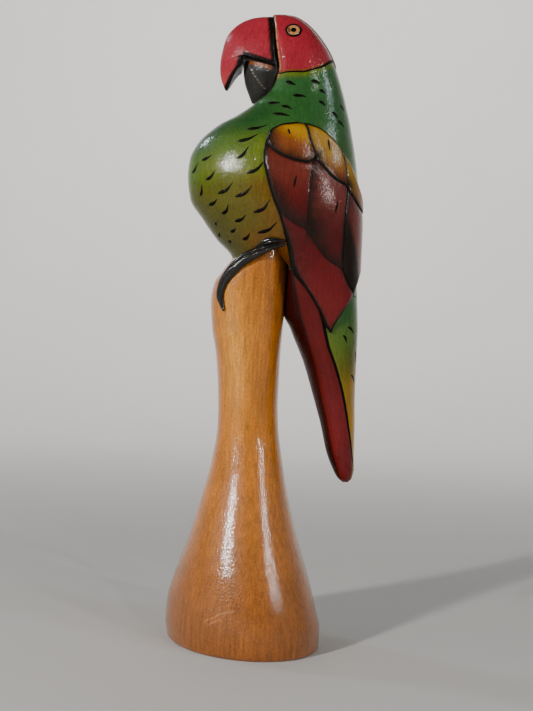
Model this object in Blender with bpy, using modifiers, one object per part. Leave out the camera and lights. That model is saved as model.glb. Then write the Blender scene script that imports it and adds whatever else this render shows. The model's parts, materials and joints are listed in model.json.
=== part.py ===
"""Carved parrot rattle on a flared post.

The bird is a hollow shell. The post's tenon closes it from below, and loose seeds lie on the tenon.
Run with: blender --background --python part.py

Lengths below are in millimetres, and become metres when a mesh is made. +Z is up, the origin is the
middle of the flat foot, the bird faces -X and its left side is at -Y.
"""

import math

import bmesh
import bpy
from mathutils import Matrix, Vector

MM = 0.001
GAP = 0.3  # clearance between two pieces that touch
SURFACE_GAP = 0.45  # the same between two curved, faceted surfaces

# Bird's trunk, from the tail's tip to the top of the head:
# height: (back, where it is widest, half width, roundness of the back half)
TRUNK = {
    78.2: (47.0, 46.0, 1.0, 2.0),
    80.0: (48.6, 45.6, 3.4, 2.0),
    84.0: (49.4, 45.0, 5.6, 2.0),
    92.0: (49.1, 43.8, 7.8, 2.0),
    106.0: (48.8, 41.5, 10.2, 2.0),
    119.0: (48.2, 38.8, 12.0, 2.0),
    135.0: (48.0, 34.0, 14.0, 2.0),
    150.0: (47.9, 30.0, 15.8, 2.1),
    166.0: (46.8, 26.0, 18.4, 2.2),
    178.0: (45.9, 22.5, 20.2, 2.2),
    190.0: (45.7, 19.0, 21.8, 2.2),
    200.0: (45.6, 15.5, 23.8, 2.2),
    210.0: (45.4, 11.5, 25.2, 2.2),
    222.0: (44.2, 8.5, 25.5, 2.2),
    235.0: (42.2, 8.0, 24.2, 2.1),
    244.0: (40.3, 9.5, 22.2, 2.1),
    250.0: (39.0, 11.5, 20.2, 2.1),
    256.5: (37.2, 14.0, 18.2, 2.1),
    261.0: (36.0, 15.0, 17.1, 2.1),
    274.0: (31.6, 14.5, 15.9, 2.1),
    282.0: (28.1, 13.0, 14.8, 2.1),
    290.0: (22.6, 10.5, 12.6, 2.1),
    296.5: (16.0, 7.5, 8.9, 2.1),
    299.9: (9.8, 5.0, 4.8, 2.1),
    301.1: (4.6, 2.4, 1.6, 2.0),
}
# height: (front, roundness of the front half); below 183 the post and the tail cut the body off
BODY_FRONT = {
    158.0: (-10.0, 2.0),
    183.2: (-14.5, 2.0),
    191.5: (-22.2, 2.0),
    200.7: (-29.4, 2.0),
    210.3: (-36.0, 2.0),
    222.5: (-37.8, 2.0),
    229.3: (-37.2, 2.0),
    236.7: (-33.9, 2.0),
    245.6: (-25.1, 2.0),
    250.0: (-17.5, 2.1),
    254.5: (-10.5, 2.4),
    257.0: (-7.0, 3.0),
    261.0: (-1.7, 4.0),
    267.8: (1.2, 5.0),
    273.6: (2.3, 5.5),
    277.0: (1.9, 5.5),
    284.6: (0.6, 5.5),
    292.0: (-0.2, 5.5),
    299.9: (-0.9, 4.0),
    301.1: (0.2, 2.0),
}
TAIL_FRONT = {
    78.2: (44.2, 2.0),
    80.0: (41.9, 2.0),
    84.0: (39.4, 1.8),
    92.0: (35.9, 1.7),
    106.0: (32.1, 1.7),
    119.0: (27.9, 1.7),
    135.0: (22.4, 1.7),
    150.0: (15.6, 1.8),
    158.0: (12.7, 2.2),
    166.0: (13.2, 3.5),
    173.1: (13.6, 6.0),
    182.0: (13.9, 8.0),
}

# Post, foot to perch: height at the middle: (front, back, half width, slope, skew in degrees, roundness)
POST = {
    0.0: (-36.0, 35.9, 34.8, 0.0, -9.0, 2.0),
    1.2: (-36.9, 36.7, 35.7, 0.0, -9.0, 2.0),
    9.0: (-37.8, 36.6, 36.4, 0.0, -9.0, 2.0),
    18.0: (-37.4, 34.5, 35.4, 0.0, -9.0, 2.0),
    32.0: (-33.9, 30.2, 32.2, 0.0, -8.0, 2.0),
    49.0: (-28.4, 24.4, 27.0, 0.0, -6.0, 2.0),
    66.0: (-23.8, 19.7, 22.0, 0.0, -4.0, 2.0),
    85.0: (-19.4, 15.3, 17.6, 0.0, -2.0, 2.0),
    103.0: (-17.3, 12.1, 14.9, 0.0, 0.0, 2.0),
    116.0: (-17.7, 11.3, 14.5, 0.0, 0.0, 2.0),
    136.0: (-19.7, 11.3, 15.6, 0.0, 0.0, 2.1),
    150.0: (-22.4, 11.8, 17.0, 0.0, 0.0, 2.2),
    164.5: (-23.5, 12.6, 18.0, 0.08, 0.0, 2.4),
    173.1: (-22.5, 13.2, 18.2, 0.16, 0.0, 2.5),
    180.3: (-18.9, 13.2, 18.0, 0.26, 0.0, 2.6),
    186.0: (-15.2, 12.4, 17.4, 1.0 / 3.0, 0.0, 2.6),
}

# Bills: height: (front, back, half width); a back at FACE means that the bill ends at the face
FACE = 5.0
UPPER_BEAK = {
    263.6: (-21.9, -20.9, 0.8),
    265.6: (-22.9, -19.8, 2.6),
    268.6: (-24.1, -18.2, 4.6),
    271.1: (-24.7, -16.2, 6.4),
    272.6: (-24.9, -14.7, 7.2),
    276.4: (-25.0, -13.8, 8.6),
    276.6: (-25.0, FACE, 11.6),
    284.0: (-24.0, FACE, 11.3),
    288.7: (-22.7, FACE, 10.4),
    292.7: (-20.2, FACE, 8.8),
    296.0: (-16.5, FACE, 6.8),
    298.5: (-11.6, FACE, 4.4),
    299.7: (-7.0, FACE, 2.0),
}
LOWER_BEAK = {
    258.0: (-8.8, FACE, 1.6),
    262.1: (-10.6, FACE, 5.6),
    267.3: (-12.8, FACE, 7.8),
    272.5: (-13.7, FACE, 9.2),
    276.1: (-13.2, FACE, 9.6),
}
# The mouth slopes down towards the face: rise per mm of x, its span, and where it neither rises nor falls
MOUTH_SLOPE = -0.3
MOUTH_FRONT = -13.8
MOUTH_REAR = 2.0
MOUTH_MIDDLE = -7.0
# Where that slope begins and where it is full, along the hook in x, and down and up in height
HOOK_FADE = (-23.0, -15.0)
CROWN_FADE = (288.0, 279.0)
CHIN_FADE = (262.0, 275.0)

# Where the pieces part from each other, as lines in the XZ plane: height at x = 0, rise per mm of x
PERCH_LINE = (186.5, 1.0 / 3.0)
TAIL_LINE = (182.9, -0.356)
RUMP_FRONT = 13.8  # the bird hangs down behind the post from here

# Chamber, tenon and seeds
CHAMBER_X = -1.4
CHAMBER_RADIUS = 11.5
CHAMBER_FLOOR = 198.0
CHAMBER_CEILING = 236.0
DRILL_TIP = 6.9
TENON_RADIUS = 11.2
TENON_ROOT = 165.0
TENON_CHAMFER = 0.8
SEED_RADIUS = 2.5
SEED_RINGS = ((3, 3.1), (9, 8.5))  # how many seeds, distance from the chamber's axis

# Wings: height: (front edge, rear edge), in degrees round the trunk from its front to its back
WING_EDGES = {
    149.4: (100.0, 103.0),
    152.0: (95.0, 106.5),
    157.3: (91.0, 117.5),
    164.0: (87.0, 135.0),
    169.4: (83.0, 148.0),
    175.0: (77.3, 162.0),
    180.0: (76.0, 174.5),
    192.0: (78.5, 175.5),
    205.4: (80.2, 175.5),
    212.0: (79.8, 173.0),
    219.0: (79.2, 160.5),
    227.4: (77.6, 149.0),
    234.6: (78.0, 138.0),
    240.2: (79.0, 125.0),
    243.0: (84.0, 115.0),
    244.6: (96.0, 104.0),
}
WING_PROUD = 2.2  # how far a wing stands out of the trunk
WING_RIM = 1.4  # the same along its rim
WING_SHARES = (0.0, 0.03, 0.14, 0.26, 0.38, 0.5, 0.62, 0.74, 0.86, 0.97, 1.0)

# Left claw, from the belly to its tip: (x, y, z, width, thickness)
CLAW = (
    (9.2, -22.0, 189.8, 3.4, 1.6),
    (4.0, -21.2, 188.6, 5.2, 2.4),
    (-2.8, -19.3, 185.2, 5.8, 2.6),
    (-8.8, -18.2, 180.6, 5.8, 2.5),
    (-13.8, -16.7, 175.4, 5.6, 2.4),
    (-17.2, -15.0, 169.8, 5.2, 2.2),
    (-18.4, -14.3, 164.2, 4.4, 1.9),
    (-16.4, -15.8, 156.8, 1.0, 0.8),
)
CLAW_AXIS_X = -4.0  # the claws stand out from this line up the perch
CLAW_STEP = 0.05  # share of a row, used to find the claw's direction
CLAW_SECTION = ((-0.5, 0.0), (-0.42, 0.5), (-0.2, 0.9), (0.2, 0.9), (0.42, 0.5), (0.5, 0.0))

# Eyes, discs let into the head
EYE_X = 9.3
EYE_Z = 290.2
EYE_RADIUS = 3.9
EYE_DEPTH = 1.8
EYE_PROUD = 0.4

SIDES = 36  # corners of a trunk or post section
BEAK_SIDES = 24
ROUND_SIDES = 24
TURNED_STEPS = 32
RING_STEP = 4.0  # most that two sections of the trunk are apart
POST_STEP = 7.0
BEAK_STEP = 3.0
WING_STEP = 5.0
SHARP_ANGLE = 40.0  # edges over this many degrees stay sharp
MERGE_DISTANCE = 0.01
FAR = 80.0  # sideways, beyond every piece
UNDER_BODY = 120.0  # below the lowest of the body's sections
OVER_TAIL = 220.0  # above the highest of the tail's

# Red, green, blue and roughness of each kind of piece

COLOURS = {
    "handle_post": (0.55, 0.24, 0.05, 0.28),
    "bird_body": (0.05, 0.22, 0.04, 0.25),
    "upper_beak": (0.55, 0.04, 0.05, 0.25),
    "lower_beak": (0.02, 0.02, 0.02, 0.3),
    "wing": (0.25, 0.02, 0.03, 0.25),
    "tail": (0.35, 0.01, 0.02, 0.25),
    "foot": (0.02, 0.018, 0.015, 0.25),
    "eye": (0.6, 0.38, 0.18, 0.3),
    "seed": (0.12, 0.07, 0.04, 0.5),
}


def smooth(table, at):
    """The table's values at a height, on a curve through its rows that never swings past them."""
    keys = sorted(table)
    at = min(max(at, keys[0]), keys[-1])
    low = max(0, min(len(keys) - 2, sum(1 for k in keys if k <= at) - 1))
    span = keys[low + 1] - keys[low]
    t = (at - keys[low]) / span
    values = []
    for column in range(len(table[keys[0]])):
        start = table[keys[low]][column]
        end = table[keys[low + 1]][column]
        rise = slope_at(table, keys, low, column) * span
        fall = slope_at(table, keys, low + 1, column) * span
        values.append(
            start * (1 + 2 * t) * (1 - t) ** 2
            + rise * t * (1 - t) ** 2
            + end * t * t * (3 - 2 * t)
            + fall * t * t * (t - 1)
        )
    return values


def slope_at(table, keys, row, column):
    """The curve's slope at a row: the harmonic mean of its two sides, or 0 at a turning point."""
    if row in (0, len(keys) - 1):
        near, far = (0, 1) if row == 0 else (row - 1, row)
        return (table[keys[far]][column] - table[keys[near]][column]) / (keys[far] - keys[near])
    before = (table[keys[row]][column] - table[keys[row - 1]][column]) / (keys[row] - keys[row - 1])
    after = (table[keys[row + 1]][column] - table[keys[row]][column]) / (keys[row + 1] - keys[row])
    if before * after <= 0:
        return 0.0
    return 2 * before * after / (before + after)


def heights(table, step=RING_STEP):
    """The table's own heights, with more between them so that no two are over a step apart."""
    keys = sorted(table)
    found = []
    for start, end in zip(keys, keys[1:]):
        count = max(1, math.ceil((end - start) / step))
        found += [start + (end - start) * i / count for i in range(count)]
    return found + keys[-1:]


def rounded(angle, roundness):
    """Cosine and sine of a superellipse's parameter."""
    c, s = math.cos(angle), math.sin(angle)
    power = 2.0 / roundness
    return math.copysign(abs(c) ** power, c), math.copysign(abs(s) ** power, s)


def trunk_point(fronts, height, angle):
    """A point on the trunk: angle 0 is the front, a quarter turn the left side, a half turn the back."""
    back, widest, half_width, back_round = smooth(TRUNK, height)
    front, front_round = smooth(fronts, height)
    if math.cos(angle) >= 0:
        along, across = rounded(angle, front_round)
        x = widest - (widest - front) * along
    else:
        along, across = rounded(angle, back_round)
        x = widest - (back - widest) * along
    return Vector((x, -half_width * across, height))


def post_point(height, angle):
    """A point on the post, with the same angles as the trunk."""
    front, back, half_width, slope, skew, roundness = smooth(POST, height)
    middle = (front + back) / 2
    along, _ = rounded(angle, roundness)
    _, across = rounded(angle + math.radians(skew), roundness)
    x = middle - (back - front) / 2 * along
    return Vector((x, -half_width * across, height + slope * (x - middle)))


def eased(low, high, value):
    """0 at low, 1 at high, and smooth between them."""
    t = min(max((value - low) / (high - low), 0.0), 1.0)
    return t * t * (3 - 2 * t)


def mouth_lift(x, height):
    """How far the slope of the mouth lifts a point of a bill: less and less above, below and in front."""
    along = min(max(x, MOUTH_FRONT), MOUTH_REAR) - MOUTH_MIDDLE
    return MOUTH_SLOPE * along * eased(*HOOK_FADE, x) * eased(*CROWN_FADE, height) * eased(*CHIN_FADE, height)


def beak_point(table, height, angle):
    """A point on a bill: rounded in front, flat at the back where it meets the face."""
    front, back, half_width = smooth(table, height)
    back = min(back, smooth(BODY_FRONT, height)[0] - SURFACE_GAP)
    x = back - (back - front) * max(math.cos(angle), 0.0)
    lifted = height + mouth_lift(x, height)
    x = min(x, smooth(BODY_FRONT, lifted)[0] - SURFACE_GAP)
    return Vector((x, -half_width * math.sin(angle), lifted))


def trunk_surface(height, angle):
    """A point on the bird's flank and the direction that points out of it."""
    step = 0.01
    point = trunk_point(BODY_FRONT, height, angle)
    up = trunk_point(BODY_FRONT, height + step, angle) - point
    along = trunk_point(BODY_FRONT, height, angle + step) - point
    return point, along.cross(up).normalized()


def turn(sides):
    """Angles of a whole turn, from the front round by the left."""
    return [2 * math.pi * i / sides for i in range(sides)]


def collection(name):
    made = bpy.data.collections.new(name)
    bpy.context.scene.collection.children.link(made)
    return made


def material(name):
    """The Principled material of one kind of piece."""
    found = bpy.data.materials.get(name)
    if found:
        return found
    red, green, blue, roughness = COLOURS[name]
    made = bpy.data.materials.new(name)
    made.use_nodes = True
    shader = made.node_tree.nodes["Principled BSDF"]
    shader.inputs["Base Color"].default_value = (red, green, blue, 1.0)
    shader.inputs["Roughness"].default_value = roughness
    shader.inputs["Metallic"].default_value = 0.0
    return made


def link(name, mesh, where):
    made = bpy.data.objects.new(name, mesh)
    where.objects.link(made)
    return made


def add_piece(name, mesh, where, finish):
    """Links a mesh as a piece of the object, shaded smooth, in its own finish."""
    if not mesh.materials:
        mesh.materials.append(material(finish))
        mesh.shade_smooth()
        mesh.set_sharp_from_angle(angle=math.radians(SHARP_ANGLE))
    return link(name, mesh, where)


def add_cutter(name, mesh, where):
    made = link(name, mesh, where)
    made.hide_render = True
    made.display_type = "WIRE"
    return made


def to_mesh(name, bm):
    """Turns a bmesh into mesh data, with its faces pointing out."""
    bmesh.ops.recalc_face_normals(bm, faces=bm.faces)
    mesh = bpy.data.meshes.new(name)
    bm.to_mesh(mesh)
    bm.free()
    return mesh


def loft(name, rings, where, finish):
    """A closed solid through rings of points, with a flat face over the first and the last."""
    bm = bmesh.new()
    rows = [[bm.verts.new(p * MM) for p in ring] for ring in rings]
    for low, high in zip(rows, rows[1:]):
        for i in range(len(low)):
            j = (i + 1) % len(low)
            bm.faces.new((low[i], low[j], high[j], high[i]))
    bm.faces.new(rows[0])
    bm.faces.new(rows[-1])
    return add_piece(name, to_mesh(name, bm), where, finish)


def disc(name, radius, low, high, base):
    """Mesh of a round disc, from low to high along the Z axis of the base matrix."""
    bm = bmesh.new()
    bmesh.ops.create_cone(
        bm,
        cap_ends=True,
        segments=ROUND_SIDES,
        radius1=radius * MM,
        radius2=radius * MM,
        depth=(high - low) * MM,
        matrix=base @ Matrix.Translation((0, 0, (low + high) / 2 * MM)),
    )
    return to_mesh(name, bm)


def prism(name, outline, where):
    """A cutter: an outline in the XZ plane, pushed through along Y."""
    bm = bmesh.new()
    face = bm.faces.new([bm.verts.new(Vector((x, -FAR, z)) * MM) for x, z in outline])
    pushed = bmesh.ops.extrude_face_region(bm, geom=[face])["geom"]
    moved = [v for v in pushed if isinstance(v, bmesh.types.BMVert)]
    bmesh.ops.translate(bm, verts=moved, vec=Vector((0, 2 * FAR, 0)) * MM)
    return add_cutter(name, to_mesh(name, bm), where)


def turned(name, profile, where):
    """A cutter: a profile of (radius, height), top to bottom, turned about the chamber's axis."""
    mesh = bpy.data.meshes.new(name)
    edges = [(i, i + 1) for i in range(len(profile) - 1)]
    mesh.from_pydata([(r * MM, 0, z * MM) for r, z in profile], edges, [])
    made = add_cutter(name, mesh, where)
    made.location.x = CHAMBER_X * MM
    screw = made.modifiers.new("turn", "SCREW")
    screw.steps = TURNED_STEPS
    screw.render_steps = TURNED_STEPS
    screw.use_merge_vertices = True
    screw.merge_threshold = MERGE_DISTANCE * MM
    return made


def boolean(piece, tool, operation):
    modifier = piece.modifiers.new(tool.name, "BOOLEAN")
    modifier.operation = operation
    modifier.object = tool
    modifier.solver = "EXACT"


def line_height(line, x):
    return line[0] + line[1] * x


def make_post(parts, cutters):
    """Foot, grip and perch in one piece, with the tenon that plugs the bird."""
    rings = [[post_point(z, a) for a in turn(SIDES)] for z in heights(POST, POST_STEP)]
    post = loft("handle_post", rings, parts, "handle_post")
    profile = (
        (0.0, CHAMBER_FLOOR),
        (TENON_RADIUS - TENON_CHAMFER, CHAMBER_FLOOR),
        (TENON_RADIUS, CHAMBER_FLOOR - TENON_CHAMFER),
        (TENON_RADIUS, TENON_ROOT),
        (0.0, TENON_ROOT),
    )
    boolean(post, turned("tenon", profile, cutters), "UNION")


def make_body(parts, cutters):
    """Breast, back, neck and head, cut off over the post and the tail, and bored from below."""
    rings = [[trunk_point(BODY_FRONT, z, a) for a in turn(SIDES)] for z in heights(BODY_FRONT)]
    body = loft("bird_body", rings, parts, "bird_body")
    outline = (
        (-FAR, line_height(PERCH_LINE, -FAR) + GAP),
        (RUMP_FRONT, line_height(PERCH_LINE, RUMP_FRONT) + GAP),
        (RUMP_FRONT, line_height(TAIL_LINE, RUMP_FRONT)),
        (FAR, line_height(TAIL_LINE, FAR)),
        (FAR, UNDER_BODY),
        (-FAR, UNDER_BODY),
    )
    boolean(body, prism("body_underside", outline, cutters), "DIFFERENCE")
    profile = (
        (0.0, CHAMBER_CEILING + DRILL_TIP),
        (CHAMBER_RADIUS, CHAMBER_CEILING),
        (CHAMBER_RADIUS, TENON_ROOT),
        (0.0, TENON_ROOT),
    )
    boolean(body, turned("chamber_bore", profile, cutters), "DIFFERENCE")
    return body


def make_tail(parts, cutters):
    """The long wedge behind the post, cut off where the body sits on it."""
    rings = [[trunk_point(TAIL_FRONT, z, a) for a in turn(SIDES)] for z in heights(TAIL_FRONT)]
    tail = loft("tail", rings, parts, "tail")
    outline = (
        (0.0, line_height(TAIL_LINE, 0.0) - GAP),
        (FAR, line_height(TAIL_LINE, FAR) - GAP),
        (FAR, OVER_TAIL),
        (0.0, OVER_TAIL),
    )
    boolean(tail, prism("tail_top", outline, cutters), "DIFFERENCE")


def make_beaks(parts):
    """The hooked upper bill and the lower bill under it."""
    for name, table in (("upper_beak", UPPER_BEAK), ("lower_beak", LOWER_BEAK)):
        levels = heights(table, BEAK_STEP)
        rings = [[beak_point(table, z, a) for a in turn(BEAK_SIDES)] for z in levels]
        loft(name, rings, parts, name)


def mirrored(point, side):
    """The same point on the left, side -1, or on the right, side 1."""
    return Vector((point.x, -side * point.y, point.z))


def wing_ring(height, side):
    """One level of a wing: along its outside from front to rear, and back along its inside."""
    front, rear = smooth(WING_EDGES, height)
    outer, inner = [], []
    for share in WING_SHARES:
        point, out = trunk_surface(height, math.radians(front + (rear - front) * share))
        thickness = WING_RIM if share in (0.0, 1.0) else WING_PROUD
        outer.append(mirrored(point + out * thickness, side))
        inner.append(mirrored(point + out * SURFACE_GAP, side))
    return outer + inner[::-1]


def make_wing(name, side, parts):
    """A wing, a carved plate that follows the flank and overlaps the root of the tail."""
    loft(name, [wing_ring(z, side) for z in heights(WING_EDGES, WING_STEP)], parts, "wing")


def make_foot(name, side, parts):
    """A claw over the front of the perch: a flat base with a rounded back, drawn out to a point."""
    table = dict(enumerate(CLAW))
    count = 2 * (len(CLAW) - 1)
    rings = []
    for i in range(count + 1):
        x, y, z, width, thickness = smooth(table, i / 2)
        ahead = Vector(smooth(table, i / 2 + CLAW_STEP)[:3])
        behind = Vector(smooth(table, i / 2 - CLAW_STEP)[:3])
        along = (ahead - behind).normalized()
        out = Vector((x - CLAW_AXIS_X, y, 0))
        out = (out - along * out.dot(along)).normalized()
        across = along.cross(out)
        middle = Vector((x, y, z))
        ring = [middle + across * a * width + out * b * thickness for a, b in CLAW_SECTION]
        rings.append([mirrored(p, side) for p in ring])
    loft(name, rings, parts, "foot")


def eye_base(side):
    """The matrix of an eye: its origin on the head's surface, its Z axis pointing out of it."""
    widest = smooth(TRUNK, EYE_Z)[1]
    front, front_round = smooth(BODY_FRONT, EYE_Z)
    share = (widest - EYE_X) / (widest - front)
    point, out = trunk_surface(EYE_Z, math.acos(share ** (front_round / 2)))
    point, out = mirrored(point, side), mirrored(out, side)
    return Matrix.Translation(point * MM) @ out.to_track_quat("Z", "Y").to_matrix().to_4x4()


def make_eye(name, side, body, parts, cutters):
    """A disc let into a pocket in the side of the head."""
    base = eye_base(side)
    pocket = disc(name + "_pocket", EYE_RADIUS + GAP, -EYE_DEPTH - GAP, EYE_RADIUS, base)
    boolean(body, add_cutter(pocket.name, pocket, cutters), "DIFFERENCE")
    add_piece(name, disc(name, EYE_RADIUS, -EYE_DEPTH, EYE_PROUD, base), parts, "eye")


def make_seeds(parts):
    """Loose seeds on the chamber's floor, in rings, each with its origin in its middle."""
    bm = bmesh.new()
    bmesh.ops.create_icosphere(bm, subdivisions=2, radius=SEED_RADIUS * MM)
    mesh = to_mesh("seed", bm)
    places = [(n, i, distance) for n, distance in SEED_RINGS for i in range(n)]
    for number, (count, place, distance) in enumerate(places, 1):
        angle = 2 * math.pi * (place + 0.5) / count
        x = CHAMBER_X + distance * math.cos(angle)
        y = distance * math.sin(angle)
        seed = add_piece(f"seed_{number:02d}", mesh, parts, "seed")
        seed.location = Vector((x, y, CHAMBER_FLOOR + GAP + SEED_RADIUS)) * MM


def main():
    for old in list(bpy.data.objects):
        bpy.data.objects.remove(old, do_unlink=True)
    parts = collection("parrot_rattle")
    cutters = collection("cutters")
    make_post(parts, cutters)
    body = make_body(parts, cutters)
    make_tail(parts, cutters)
    make_beaks(parts)
    for word, side in (("left", -1), ("right", 1)):
        make_wing("wing_" + word, side, parts)
        make_foot("foot_" + word, side, parts)
        make_eye("eye_" + word, side, body, parts, cutters)
    make_seeds(parts)


main()
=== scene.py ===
"""Looks of the carved parrot rattle: fine meshes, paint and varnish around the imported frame.

The trunk, the tail, the post, the bills and the wings' outlines follow the CAD source's sections,
repeated here because this script reads only the frame. Feathers, toes, eyes, the bill's hook and the
crown's ridge are carved finer than their nodes, and every piece is checked against its node's box.
Places on the bird are (angle, height): degrees round the trunk from its front by its left side, and
millimetres up. Lengths are in millimetres until a mesh is made.
"""

import json
import math

import bpy
import numpy as np
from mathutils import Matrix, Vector

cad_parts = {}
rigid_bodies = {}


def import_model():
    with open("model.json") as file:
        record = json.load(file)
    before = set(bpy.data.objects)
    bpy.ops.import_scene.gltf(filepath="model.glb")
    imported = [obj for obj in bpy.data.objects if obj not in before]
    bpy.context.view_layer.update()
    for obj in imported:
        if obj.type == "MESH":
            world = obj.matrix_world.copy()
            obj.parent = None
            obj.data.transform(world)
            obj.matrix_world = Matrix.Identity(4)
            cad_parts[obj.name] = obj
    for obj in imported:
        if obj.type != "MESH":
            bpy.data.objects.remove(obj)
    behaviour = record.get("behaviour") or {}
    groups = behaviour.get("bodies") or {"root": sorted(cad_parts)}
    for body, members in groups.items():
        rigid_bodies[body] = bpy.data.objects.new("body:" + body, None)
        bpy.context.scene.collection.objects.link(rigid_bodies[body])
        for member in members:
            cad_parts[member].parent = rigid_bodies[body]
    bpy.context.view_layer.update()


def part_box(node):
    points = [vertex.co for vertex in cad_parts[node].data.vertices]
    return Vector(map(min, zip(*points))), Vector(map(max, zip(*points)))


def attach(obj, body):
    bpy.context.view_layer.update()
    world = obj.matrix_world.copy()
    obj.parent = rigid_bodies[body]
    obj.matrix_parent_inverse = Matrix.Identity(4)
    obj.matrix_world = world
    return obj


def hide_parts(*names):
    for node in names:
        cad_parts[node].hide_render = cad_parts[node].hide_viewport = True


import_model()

MM = 0.001
BODY = "rattle"
BOX_SLACK = 2.0  # the most by which a carved piece may leave the box of its plainer node

# The trunk of bird and tail: height: (back, where it is widest, half width, roundness of the back half)
TRUNK = {
    78.2: (47, 46, 1, 2),
    80: (48.6, 45.6, 3.4, 2),
    84: (49.4, 45, 5.6, 2),
    92: (49.1, 43.8, 7.8, 2),
    106: (48.8, 41.5, 10.2, 2),
    119: (48.2, 38.8, 12, 2),
    135: (48, 34, 14, 2),
    150: (47.9, 30, 15.8, 2.1),
    166: (46.8, 26, 18.4, 2.2),
    178: (45.9, 22.5, 20.2, 2.2),
    190: (45.7, 19, 21.8, 2.2),
    200: (45.6, 15.5, 23.8, 2.2),
    210: (45.4, 11.5, 25.2, 2.2),
    222: (44.2, 8.5, 25.5, 2.2),
    235: (42.2, 8, 24.2, 2.1),
    244: (40.3, 9.5, 22.2, 2.1),
    250: (39, 11.5, 20.2, 2.1),
    256.5: (37.2, 14, 18.2, 2.1),
    261: (36, 15, 17.1, 2.1),
    274: (31.6, 14.5, 15.9, 2.1),
    282: (28.1, 13, 14.8, 2.1),
    290: (22.6, 10.5, 12.6, 2.1),
    296.5: (16, 7.5, 8.9, 2.1),
    299.9: (9.8, 5, 4.8, 2.1),
    301.1: (4.6, 2.4, 1.6, 2),
}
# The front of each: height: (front, roundness of the front half)
BODY_FRONT = {
    158: (-10, 2),
    183.2: (-14.5, 2),
    191.5: (-22.2, 2),
    200.7: (-29.4, 2),
    210.3: (-36, 2),
    222.5: (-37.8, 2),
    229.3: (-37.2, 2),
    236.7: (-33.9, 2),
    245.6: (-25.1, 2),
    250: (-17.5, 2.1),
    254.5: (-10.5, 2.4),
    257: (-7, 3),
    261: (-1.7, 4),
    267.8: (1.2, 5),
    273.6: (2.3, 5.5),
    277: (1.9, 5.5),
    284.6: (0.6, 5.5),
    292: (-0.2, 5.5),
    299.9: (-0.9, 4),
    301.1: (0.2, 2),
}
TAIL_FRONT = {
    78.2: (44.2, 2),
    80: (41.9, 2),
    84: (39.4, 1.8),
    92: (35.9, 1.7),
    106: (32.1, 1.7),
    119: (27.9, 1.7),
    135: (22.4, 1.7),
    150: (15.6, 1.8),
    158: (12.7, 2.2),
    166: (13.2, 3.5),
    173.1: (13.6, 6),
    182: (13.9, 8),
}
TAIL_TIP = min(TRUNK)
CROWN = max(TRUNK)
DOME = 286.0  # rings close up above it
RIDGE_HALF = 4.0  # half the width of the burnt ridge over the crown
RIDGE_HEIGHT = 0.5
# Post: height at the middle: (front, back, half width, slope, skew in degrees, roundness)
POST = {
    0: (-36, 35.9, 34.8, 0, -9, 2),
    1.2: (-36.9, 36.7, 35.7, 0, -9, 2),
    9: (-37.8, 36.6, 36.4, 0, -9, 2),
    18: (-37.4, 34.5, 35.4, 0, -9, 2),
    32: (-33.9, 30.2, 32.2, 0, -8, 2),
    49: (-28.4, 24.4, 27, 0, -6, 2),
    66: (-23.8, 19.7, 22, 0, -4, 2),
    85: (-19.4, 15.3, 17.6, 0, -2, 2),
    103: (-17.3, 12.1, 14.9, 0, 0, 2),
    116: (-17.7, 11.3, 14.5, 0, 0, 2),
    136: (-19.7, 11.3, 15.6, 0, 0, 2.1),
    150: (-22.4, 11.8, 17, 0, 0, 2.2),
    164.5: (-23.5, 12.6, 18, 0.08, 0, 2.4),
    173.1: (-22.5, 13.2, 18.2, 0.16, 0, 2.5),
    180.3: (-18.9, 13.2, 18, 0.26, 0, 2.6),
    186: (-15.2, 12.4, 17.4, 1 / 3, 0, 2.6),
}
FOOT_RIM = 1.2  # the post's rounded lower edge
WOBBLE = 0.12  # how far its surface strays from true
# Bills: height: (front, back, half width); a back at FACE means that the bill ends at the face
FACE = 5.0
FACE_TOUCH = 0.05  # the bills run this far into the face, where their nodes stop short of it
UPPER_BEAK = {
    263.6: (-21.9, -20.9, 0.8),
    265.6: (-22.9, -19.8, 2.6),
    268.6: (-24.1, -18.2, 4.6),
    271.1: (-24.7, -16.2, 6.4),
    272.6: (-24.9, -14.7, 7.6),
    274.5: (-25, -14.2, 8.35),
    276.4: (-25, -13.8, 8.98),
    276.6: (-25, FACE, 11.6),
    284: (-24, FACE, 11.3),
    288.7: (-22.7, FACE, 10.4),
    292.7: (-20.2, FACE, 8.8),
    296: (-16.5, FACE, 6.8),
    298.5: (-11.6, FACE, 4.4),
    299.7: (-7, FACE, 2),
}
LOWER_BEAK = {
    258: (-8.8, FACE, 1.6),
    262.1: (-10.6, FACE, 5.6),
    267.3: (-12.8, FACE, 7.8),
    272.5: (-13.7, FACE, 9.2),
    276.1: (-13.2, FACE, 9.6),
}
BILL_CREASE = ((26, 275.2), (36, 272), (50, 268), (63, 263.5))
MOUTH = 276.5
MOUTH_SLOPE = -0.3  # rise per mm of x, from the hook to the face
MOUTH_FRONT = -13.8
MOUTH_REAR = 2.0
MOUTH_MIDDLE = -7.0
# Joints between the pieces, in the XZ plane: height at x = 0, rise per mm of x
PERCH_LINE = (186.5, 1 / 3)
TAIL_LINE = (182.9, -0.356)
RUMP_FRONT = 13.8
GAP = 0.3
TAIL_TOUCH = 0.9  # the tail's front meets the post, where its node stops short of it
CHAMBER_X = -1.4
CHAMBER_RADIUS = 11.5
CHAMBER_CEILING = 236.0
DRILL_TIP = 6.9
TENON_RADIUS = 11.2
TENON_CHAMFER = 0.8
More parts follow.
